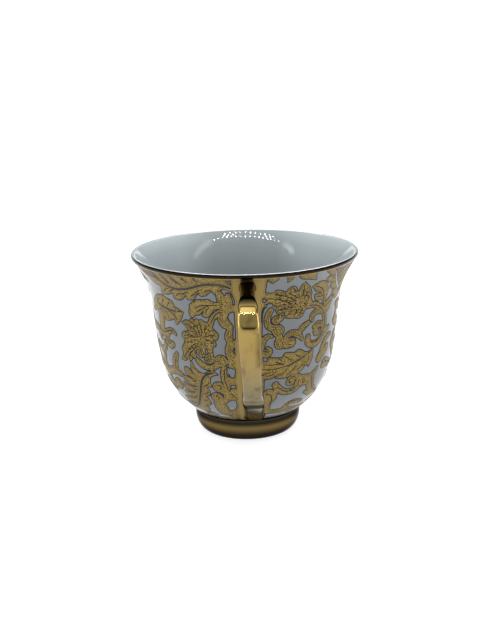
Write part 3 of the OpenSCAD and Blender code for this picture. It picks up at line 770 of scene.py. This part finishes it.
RIGHT.vein(30.4,18.4, 28.8,17.8, 28.2,18.8, 30,19.8, 34,19.4)
RIGHT.vein(42,17.4, 40.4,16.6, 39.4,17.6, 40.8,18.6)
# beside the far edge
RIGHT.band(65.4,30.1,.35, 61,30,.75, 57.6,28.9,.9, 55.2,27,1, 54.4,25.2,1.2, 53,23.8,1.6)
RIGHT.band(55.6,24.8,1.2, 58,24.9,1.1, 60.2,26.1,1.4)
RIGHT.band(68,26.8,.5, 71,25.2,.9, 76,23,1)
RIGHT.leaf(57.2,21.2, 59,22.4, 62,22.7, 66,21.8, 71,21, 76,19.6, 71,18.6, 66,19.4, 61.5,19.4, 58,19.8)
RIGHT.slit(60,21.6,.1, 64,21,.3, 70,20.4,.3)
RIGHT.leaf(66.6,34, 68,34.9, 71,35.2, 75,34.4, 79,33, 77,31.8, 72,31.8, 69,32.6)
RIGHT.leaf(68,39.6, 73,40.2, 79,38.6, 79,36.4, 74,36.9, 70.4,37.6)
RIGHT.band(76,30,.8, 72,29.2,1, 69.6,27.4,.8)
RIGHT.band(62,6,.8, 68,7.6,1, 76,8,1)
RIGHT.vein(57,21, 62,21.6, 68,20.4, 74,19)
# the bud and bands at the bottom
RIGHT.leaf(7,14.6, 10.6,15.2, 12,16, 15,16.5, 17.2,16.1, 20.2,15.5, 20.5,13.8, 19.4,12, 17.5,11.2, 17,9.5,
    17.2,7.6, 20,7.2, 27,7, 31,7, 40,6.6, 50,5.8, 60,5.4, 66,4, 40,3.6, 27,4.4, 20,4.9, 13,4.6, 7,4.6)
RIGHT.opening(13,4.5, 18,4.9, 23,4.6, 25,3.9, 18,2.7, 13.6,2.3)
RIGHT.opening(30,4.4, 36,4.3, 44,3.8, 38,3.1, 31,3.5)
RIGHT.band(31,7,.9, 32.6,8.6,.95, 36.4,9.4,.95, 41,9.3,.9, 45,8.7,.8, 48,8,.3)
RIGHT.vein(12,15, 16,14.4, 17.4,12.6, 15.6,10)
RIGHT.vein(17,6.2, 26,6, 36,5.8, 46,5.2)
RIGHT.vein(32,8.2, 34,9.6, 40,9.8, 46,9)

# --- the strip behind the handle
STRIP = Half(0)
STRIP.leaf(STRIP_FROM, -2, STRIP_FROM, 60, STRIP_TO + 0.5, 60, STRIP_TO + 0.1, 48, STRIP_TO - 0.6, 42,
    STRIP_TO - 0.8, 30, STRIP_TO + 0.6, 21, STRIP_TO + 0.8, 15, STRIP_TO + 0.8, -2)

THETA_STEP, S_STEP = 0.36, 0.18   # the pattern's grid, in degrees and millimetres
COLS = round(360 / THETA_STEP)
S_FROM, S_TO = NECK_GOLD_S - 0.3, BAND_S + 0.06
ROWS = int((S_TO - S_FROM) / S_STEP) + 1
FAR = 0.9                  # distances to a shape's edge are known up to here
PRINT_DROP = 0.22          # the whole print sits this much lower than its drawing
DRAWN_R = 27               # radius at which smooth() weighs degrees against millimetres
LEAST_R = 20               # a low radius, which turns millimetres into more degrees than needed


def smooth(points, per=5, closed=False):
    """A curve through the points that keeps the sharp turns sharp."""
    p = np.asarray(points, float)
    n = len(p)
    scale = np.ones(p.shape[1])
    scale[0] = math.radians(1) * DRAWN_R
    q = p * scale
    if closed:
        before, after = np.roll(q, 1, 0), np.roll(q, -1, 0)
    else:
        before, after = np.vstack([2 * q[0] - q[1], q[:-1]]), np.vstack([q[1:], 2 * q[-1] - q[-2]])
    a, b = q - before, after - q
    la = np.linalg.norm(a, axis=1, keepdims=True) + 1e-9
    lb = np.linalg.norm(b, axis=1, keepdims=True) + 1e-9
    turn = np.sum(a * b, axis=1, keepdims=True) / (la * lb)
    way = (a / la * lb + b / lb * la) / (la + lb) * np.clip((turn + 0.1) / 0.6, 0, 1)
    out = []
    for i in range(n if closed else n - 1):
        j = (i + 1) % n
        size = np.linalg.norm(q[j] - q[i])
        for t in np.arange(per) / per:
            out.append((2 * t ** 3 - 3 * t * t + 1) * q[i] + (t ** 3 - 2 * t * t + t) * size * way[i]
                       + (3 * t * t - 2 * t ** 3) * q[j] + (t ** 3 - t * t) * size * way[j])
    if not closed:
        out.append(q[-1])
    return np.array(out) / scale


def patch_of(points, reach):
    """Rows and columns of the grid within reach of some points."""
    (t0, s0), (t1, s1) = points[:, :2].min(0), points[:, :2].max(0)
    pad = math.degrees(reach / LEAST_R)
    rows = np.arange(max(math.floor((s0 - reach - S_FROM) / S_STEP), 0),
                     min(math.ceil((s1 + reach - S_FROM) / S_STEP) + 1, ROWS))
    cols = np.arange(math.floor((t0 - pad + 180) / THETA_STEP), math.ceil((t1 + pad + 180) / THETA_STEP) + 1)
    return rows, cols


def to_line(t, s, pts):
    """Distance of the grid's points to a line; a third number at its points is taken off as half width."""
    k = np.radians(wall_at(s)[0])
    best = np.full((s.shape[0], t.shape[1]), 99.0)
    for a, b in zip(pts[:-1], pts[1:]):
        ux, uy = (b[0] - a[0]) * k, b[1] - a[1]
        px, py = (t - a[0]) * k, s - a[1]
        h = np.clip((px * ux + py * uy) / (ux * ux + uy * uy + 1e-9), 0, 1)
        d = np.hypot(px - h * ux, py - h * uy)
        if len(a) > 2:
            d = d - (a[2] + h * (b[2] - a[2]))
        best = np.minimum(best, d)
    return best


def signed(t, s, kind, pts):
    """Distance of the grid's points to a shape's edge, below zero inside it."""
    if kind == "band":
        return to_line(t, s, pts)
    loop = np.vstack([pts, pts[:1]])
    d = to_line(t, s, loop)
    odd = np.zeros(d.shape, bool)
    for a, b in zip(loop[:-1], loop[1:]):
        crosses = (a[1] > s) != (b[1] > s)
        odd ^= crosses & (t < a[0] + (s - a[1]) * (b[0] - a[0]) / (b[1] - a[1] + 1e-12))
    return np.where(odd, -d, d)


field = np.full((ROWS, COLS), FAR)


def draw(shapes, turn, cut):
    """Adds shapes to the field, or cuts them out of it."""
    for kind, points in shapes:
        pts = smooth(points, closed=kind == "area") if len(points) > 2 else np.array(points, float)
        pts[:, :2] += (turn, -PRINT_DROP)
        widest = pts[:, 2].max() if kind == "band" else 0
        rows, cols = patch_of(pts, FAR + widest)
        if not len(rows):
            continue
        d = signed(cols[None, :] * THETA_STEP - 180.0, (S_FROM + rows * S_STEP)[:, None], kind, pts)
        where = np.ix_(rows, cols % COLS)
        field[where] = np.maximum(field[where], -d) if cut else np.minimum(field[where], d)


for cut in (False, True):
    for half in (LEFT, RIGHT, STRIP):
        for turn in half.turns:
            draw(half.gaps if cut else half.gold, turn, cut)


# ---------------------------------------------------------------- the pattern's meshes
SEAM = 2                   # angle at which a line layer is split into its two pieces
EDGE_LIFT, GOLD_LIFT = 0.035, 0.11   # the gold's height over the glaze, at its edge and inside
EDGE_WIDTH = 0.42          # the gold rises over this width
GOLD_SINK = -0.05          # its sides go down to here
KEY_MIDDLE, KEY_HALF, KEY_LIFT = 0.09, 0.24, 0.02   # the dark line round the gold
INNER_DEPTH, INNER_HALF = 0.4, 0.05   # the fine line inside the gold's edge
INNER_LIFT, DRAWN_LIFT = 0.01, 0.012  # heights of the lines over the gold
DRAWN_HALF, DOT_R, DOT_GAP = 0.145, 0.19, 0.66   # half width of a drawn line; dots and their distance
LINE_DEPTH, DOT_DEPTH = -0.1, -0.12   # they are drawn only where the field is below this
SPECKS, SPECK_SEED = 360, 7           # dashes in one area
SQUASH = 2.1               # degrees in a millimetre, for the dashes


def columns(first, last):
    """The grid's columns between two angles."""
    return np.arange(round((first + 180) / THETA_STEP), round((last + 180) / THETA_STEP) + 1)


def contour_mesh(name, level, lift, first, last, sink=None):
    """The grid where level is below zero, lifted off the wall, with sides that go down to sink."""
    cols = columns(first, last)
    f, up = level[:, cols % COLS], lift[:, cols % COLS]
    angle, height = cols * THETA_STEP - 180.0, S_FROM + np.arange(ROWS) * S_STEP
    inside = f < 0
    ii, jj = np.nonzero(inside)
    corner_id = -np.ones(f.shape, int)
    corner_id[ii, jj] = np.arange(len(ii))
    place = [np.stack([angle[jj], height[ii], up[ii, jj]], -1)]
    total = len(ii)
    edge_id = []
    up_the_wall, around = (np.s_[:-1, :], np.s_[1:, :]), (np.s_[:, :-1], np.s_[:, 1:])
    for axis, (near, far) in enumerate((up_the_wall, around)):
        ei, ej = np.nonzero(inside[near] != inside[far])
        fa, fb = f[near][ei, ej], f[far][ei, ej]
        w = np.clip(fa / (fa - fb), 0.03, 0.97)           # never quite on a corner
        t, s = angle[ej] + axis * w * THETA_STEP, height[ei] + (1 - axis) * w * S_STEP
        place.append(np.stack([t, s, up[near][ei, ej] * (1 - w) + up[far][ei, ej] * w], -1))
        ids = -np.ones(f[near].shape, int)
        ids[ei, ej] = total + np.arange(len(ei))
        total += len(ei)
        edge_id.append(ids)
    place = np.vstack(place)
    filled = inside[:-1, :-1].astype(int) + inside[:-1, 1:] + inside[1:, 1:] + inside[1:, :-1]
    i, j = np.nonzero(filled == 4)
    i, j = np.stack([i, i, i + 1, i + 1], -1), np.stack([j, j + 1, j + 1, j], -1)
    faces = corner_id[i, j].tolist()
    sides = []
    for i, j in zip(*np.nonzero((filled > 0) & (filled < 4))):
        corners = [corner_id[c] for c in ((i, j), (i, j + 1), (i + 1, j + 1), (i + 1, j))]
        edges = [edge_id[1][i, j], edge_id[0][i, j + 1], edge_id[1][i + 1, j], edge_id[0][i, j]]
        loops = [[int(v) for pair in zip(corners, edges) for v in pair if v >= 0]]
        if len(loops[0]) == 6 and filled[i, j] == 2:      # two opposite corners: two triangles
            k = 0 if corners[0] >= 0 else 1
            loops = [[int(v) for v in (corners[n], edges[n], edges[n - 1])] for n in (k, k + 2)]
        for loop in loops:
            faces.append(loop)
            sides += [(v, w) for v, w in zip(loop, loop[1:] + loop[:1]) if min(v, w) >= len(ii)]
    if sink is not None:
        low, extra = {}, []
        for v, w in sides:
            for k in (v, w):
                if k not in low:
                    low[k] = total + len(extra)
                    extra.append((place[k, 0], place[k, 1], sink))
            faces.append([v, low[v], low[w], w])
        place = np.vstack([place, extra])
    return add_mesh(name, wall_points(*place.T), faces)


def ease(x):
    """0 below 0, 1 above 1, and smooth between."""
    x = np.clip(x, 0, 1)
    return x * x * (3 - 2 * x)


gold_lift = EDGE_LIFT + (GOLD_LIFT - EDGE_LIFT) * ease(-field / EDGE_WIDTH)
key_field = np.abs(field - KEY_MIDDLE) - KEY_HALF
strip_start, strip_end = STRIP_FROM - 0.24, STRIP_TO + 0.08
for name, cad_node, gold, start, end in (
        ("scroll_left_gold", "scroll_transfer_left", PRINT_GOLD, -180, strip_start),
        ("strip_gold", "handle_back_gilding", STRIP_GOLD, strip_start, strip_end),
        ("scroll_right_gold", "scroll_transfer_right", PRINT_GOLD, strip_end, 180)):
    dress(contour_mesh(name, field, gold_lift, start, end, GOLD_SINK), gold, "printed_gold", cad_node)
for name, start, end in (("key_line_left", -180, SEAM), ("key_line_right", SEAM, 180)):
    lift = np.full(field.shape, KEY_LIFT)
    dress(contour_mesh(name, key_field, lift, start, end), KEY_LINE, "printed_gold")


def outline(name, level, half, first, last):
    """Thin lines on the gold where level crosses zero."""
    cols = columns(first, last)
    f, up = level[:, cols % COLS], gold_lift[:, cols % COLS]
    inside = f < 0
    ends = []
    mixed = (inside[:-1, :-1] != inside[1:, 1:]) | (inside[1:, :-1] != inside[:-1, 1:])
    for i, j in zip(*np.nonzero(mixed)):
        corners = ((i, j), (i, j + 1), (i + 1, j + 1), (i + 1, j))
        cut = []
        for a, b in zip(corners, corners[1:] + corners[:1]):
            if inside[a] != inside[b]:
                w = f[a] / (f[a] - f[b])
                cut.append((a[1] + w * (b[1] - a[1]), a[0] + w * (b[0] - a[0]), up[a] * (1 - w) + up[b] * w))
        if len(cut) == 2:
            ends.append(cut)
    t, s, lift = np.moveaxis(np.array(ends), -1, 0)
    t, s, lift = (cols[0] + t) * THETA_STEP - 180, S_FROM + s * S_STEP, lift + INNER_LIFT
    k = np.radians(wall_at(s)[0])
    along = np.stack([(t[:, 1] - t[:, 0]) * k[:, 0], s[:, 1] - s[:, 0]], -1)
    along /= np.linalg.norm(along, axis=1, keepdims=True) + 1e-9
    over = along * 0.03        # each short piece runs over its ends a little
    ring = []
    for e, side in ((0, 1), (1, 1), (1, -1), (0, -1)):
        push = over * (1 if e else -1)
        dt = (-along[:, 1] * half * side + push[:, 0]) / k[:, e]
        ds = along[:, 0] * half * side + push[:, 1]
        ring.append(wall_points(t[:, e] + dt, s[:, e] + ds, lift[:, e]))
    verts = np.stack(ring, 1).reshape(-1, 3)
    return add_mesh(name, verts, np.arange(len(verts)).reshape(-1, 4).tolist())


for name, start, end in (("inner_line_left", -180, SEAM), ("inner_line_right", SEAM, 180)):
    dress(outline(name, field + INNER_DEPTH, INNER_HALF, start, end), INNER_LINE, "printed_gold")


def on_gold(t, s):
    """Height of the gold under places, and the field there."""
    c = np.round((t + 180) / THETA_STEP).astype(int) % COLS
    r = np.clip(np.round((s - S_FROM) / S_STEP).astype(int), 0, ROWS - 1)
    return gold_lift[r, c], field[r, c]


def engraving(name, half):
    """Thin drawn lines, dots and dashes lying on the gold of one half."""
    verts, faces = [], []

    def add_ribbon(line):
        t, s = line.T
        k = np.radians(wall_at(s)[0])
        way = np.gradient(np.stack([t * k, s], -1), axis=0)
        way /= np.linalg.norm(way, axis=1, keepdims=True) + 1e-9
        lift, depth = on_gold(t, s)
        n = np.arange(len(t))
        taper = DRAWN_HALF * np.clip(np.minimum(n + 0.6, len(t) - 0.4 - n) / 2, 0.3, 1)
        side_t, side_s = -way[:, 1] * taper / k, way[:, 0] * taper
        a = wall_points(t + side_t, s + side_s, lift + DRAWN_LIFT)
        b = wall_points(t - side_t, s - side_s, lift + DRAWN_LIFT)
        base = len(verts)
        verts.extend(np.stack([a, b], 1).reshape(-1, 3))
        for i in np.nonzero(np.maximum(depth[:-1], depth[1:]) < LINE_DEPTH)[0].tolist():
            at = base + 2 * i
            faces.append((at, at + 1, at + 3, at + 2))

    def add_dot(t, s):
        lift, depth = on_gold(t, s)
        if depth > DOT_DEPTH:
            return
        a = np.arange(6) * math.pi / 3
        k = math.radians(float(wall_at(s)[0]))
        faces.append(tuple(range(len(verts), len(verts) + 6)))
        t, s = t + DOT_R * np.cos(a) / k, s + DOT_R * np.sin(a)
        verts.extend(wall_points(t, s, np.full(6, lift + DRAWN_LIFT)))

    for turn in half.turns:
        moved = np.array([turn, -PRINT_DROP])
        for vein in half.veins:
            add_ribbon(smooth(vein, per=8) + moved)
        for row in half.dots:
            line = smooth(row, per=12) + moved
            k = np.radians(wall_at(line[:, 1])[0])
            run = np.concatenate([[0], np.cumsum(np.hypot(np.diff(line[:, 0]) * k[1:], np.diff(line[:, 1])))])
            for d in np.arange(0.2, run[-1], DOT_GAP):
                add_dot(np.interp(d, run, line[:, 0]), np.interp(d, run, line[:, 1]))
        for (left, right, low, high), heart in half.specks:
            rng = np.random.default_rng(SPECK_SEED)
            for t, s, w in rng.random((SPECKS, 3)) * [right - left, high - low, 1] + [left, low, 0]:
                out = np.array([t - heart[0], (s - heart[1]) * SQUASH])
                out *= (0.35 + 0.5 * w) / (np.linalg.norm(out) + 1e-9)
                out[1] /= SQUASH
                here = np.array([t, s]) + moved
                add_ribbon(np.array([here - out, here, here + out]))
    return add_mesh(name, verts, faces)


dress(engraving("engraving_left", LEFT), ENGRAVING, "printed_gold")
dress(engraving("engraving_right", RIGHT), ENGRAVING, "printed_gold")


# ---------------------------------------------------------------- camera
CAMERA_PLACE = (1.49, -330.0, 126.3)   # millimetres
PITCH = math.radians(15.02)
ROLL = math.radians(1.10)
LENS, SENSOR = 62.86, 36

camera = bpy.data.objects.new("camera", bpy.data.cameras.new("camera"))
bpy.context.scene.collection.objects.link(camera)
camera.data.sensor_width = SENSOR
camera.data.lens = LENS
camera.data.clip_start = 0.01
tilt = Matrix.Rotation(math.pi / 2 - PITCH, 4, "X") @ Matrix.Rotation(-ROLL, 4, "Z")
camera.matrix_world = Matrix.Translation(Vector(CAMERA_PLACE) * MM) @ tilt
bpy.context.scene.camera = camera


# ---------------------------------------------------------------- stage and light, in metres
STAGE_REACH, STAGE_FRONT = 1.4, -12.0   # how far the floor goes behind and beside, and in front
STAGE_CURVE, STAGE_WALL = 0.25, 0.3     # radius of its rise, and height of its edge
AIM = (0, 0, 0.05)                      # the lights point at the cup
GLOW_SIZE, GLOW_POWER = 0.13, 0.05      # the soft row on each side, seen in the glaze
LAMP_SIZE, LAMP_POWER = 0.0118, 0.05    # the small lamps, seen as dots inside the cup
LAMP_GAP, LAMP_Z, LAMP_BOW = 0.07, 0.86, 0.28
LAMP_ROWS = ((-0.55, 17, 0), (-0.515, 12, 0.2), (-0.48, 11, 0))   # y, count, half the gap in the middle
SEEN_SHIFT = -0.085                     # the rows of lamps stand this much to the left


def area_light(name, place, aim, size, power):
    """A rectangular light at place that points at aim."""
    light = bpy.data.lights.new(name, "AREA")
    light.shape = "RECTANGLE"
    light.size, light.size_y = size
    light.energy = power
    obj = bpy.data.objects.new(name, light)
    bpy.context.scene.collection.objects.link(obj)
    obj.location = place
    obj.rotation_euler = (Vector(aim) - Vector(place)).to_track_quat("-Z", "Y").to_euler()
    return obj


def make_stage():
    """A floor open to the front, with walls curving up behind and at both sides."""
    rise = [(0, 0)]
    for a in np.linspace(0, math.pi / 2, 17):
        rise.append((STAGE_REACH + STAGE_CURVE * math.sin(a), STAGE_CURVE * (1 - math.cos(a))))
    rise.append((STAGE_REACH + STAGE_CURVE, STAGE_WALL))
    back = [(-math.cos(a), math.sin(a)) for a in np.linspace(0, math.pi, 25)[1:-1]]
    around = [(-1, STAGE_FRONT), (-1, 0), *back, (1, 0), (1, STAGE_FRONT)]
    verts, faces = [], []
    for x, y in around:
        verts += [(x * d, y * d if y >= 0 else y, z) for d, z in rise]
    step = len(rise)
    for i in range(0, (len(around) - 1) * step, step):
        for j in range(i, i + step - 1):
            faces.append((j, j + 1, j + step + 1, j + step))
    stage = add_mesh("stage", np.array(verts) / MM, faces)
    stage.data.materials.append(material("stage_white", (0.43, 0.43, 0.43), 0, 0.6,
                                         Emission_Color=(1, 1, 1, 1), Emission_Strength=0.8))


make_stage()
area_light("overhead", (0.0, -0.12, 0.75), (0, 0, 0.03), (1.3, 0.3), 3.4).visible_glossy = False
area_light("backdrop_light", (0, 0.8, 1.25), (0, 0.8, 0), (2.8, 1.2), 12)
for side in (-1, 1):
    area_light("side_light", (side * 0.45, 0, 0.8), AIM, (0.3, 0.5), 2.8).visible_glossy = False
    for t in np.linspace(0, 1, 8):
        spread = 0.3 * t if side > 0 else 0.09 * math.sin(2.6 * t)
        place = (side * (0.64 + spread) + SEEN_SHIFT, -0.46 + 0.14 * t, 0.84 - 0.24 * t ** 1.5)
        area_light("glow_light", place, AIM, (GLOW_SIZE, GLOW_SIZE), GLOW_POWER)
for y, count, gap in LAMP_ROWS:
    for k in range(count):
        x = LAMP_GAP * (k - (count - 1) / 2)
        if abs(x) >= gap:
            place = (x + SEEN_SHIFT, y + LAMP_BOW * x * x, LAMP_Z)
            area_light("small_lamp", place, AIM, (LAMP_SIZE, LAMP_SIZE), LAMP_POWER)

# lights that fall on the handle alone
handle_only = bpy.data.collections.new("lit_by_handle_lights")
handle_only.objects.link(bpy.data.objects["handle_gold"])
handle_lights = [area_light("handle_top_light", (0, -0.2, 0.8), AIM, (0.6, 0.42), 1.1)]
for side in (-1, 1):
    handle_lights.append(area_light("handle_side_light", (side * 0.7, -0.15, 0.25), AIM, (0.35, 0.45), 1.24))
for light in handle_lights:
    light.light_linking.receiver_collection = handle_only

world = bpy.data.worlds.new("studio")
world.use_nodes = True
sky = world.node_tree
way = node(sky, "ShaderNodeSeparateXYZ")
sky.links.new(node(sky, "ShaderNodeTexCoord").outputs["Generated"], way.inputs[0])
by_height = ramp(sky, way.outputs["Z"], (0, 0.012), (0.05, 0.02), (0.16, (0.5, 0.505, 0.51)),
                 (1, (0.52, 0.525, 0.53)))
by_side = ramp(sky, way.outputs["Y"], (0, 1), (0.1, 0.6), (0.35, 0.03))
sky.links.new(combine(sky, "MULTIPLY", by_height, by_side), sky.nodes["Background"].inputs["Color"])
bpy.context.scene.world = world
bpy.context.scene.view_settings.view_transform = "Standard"
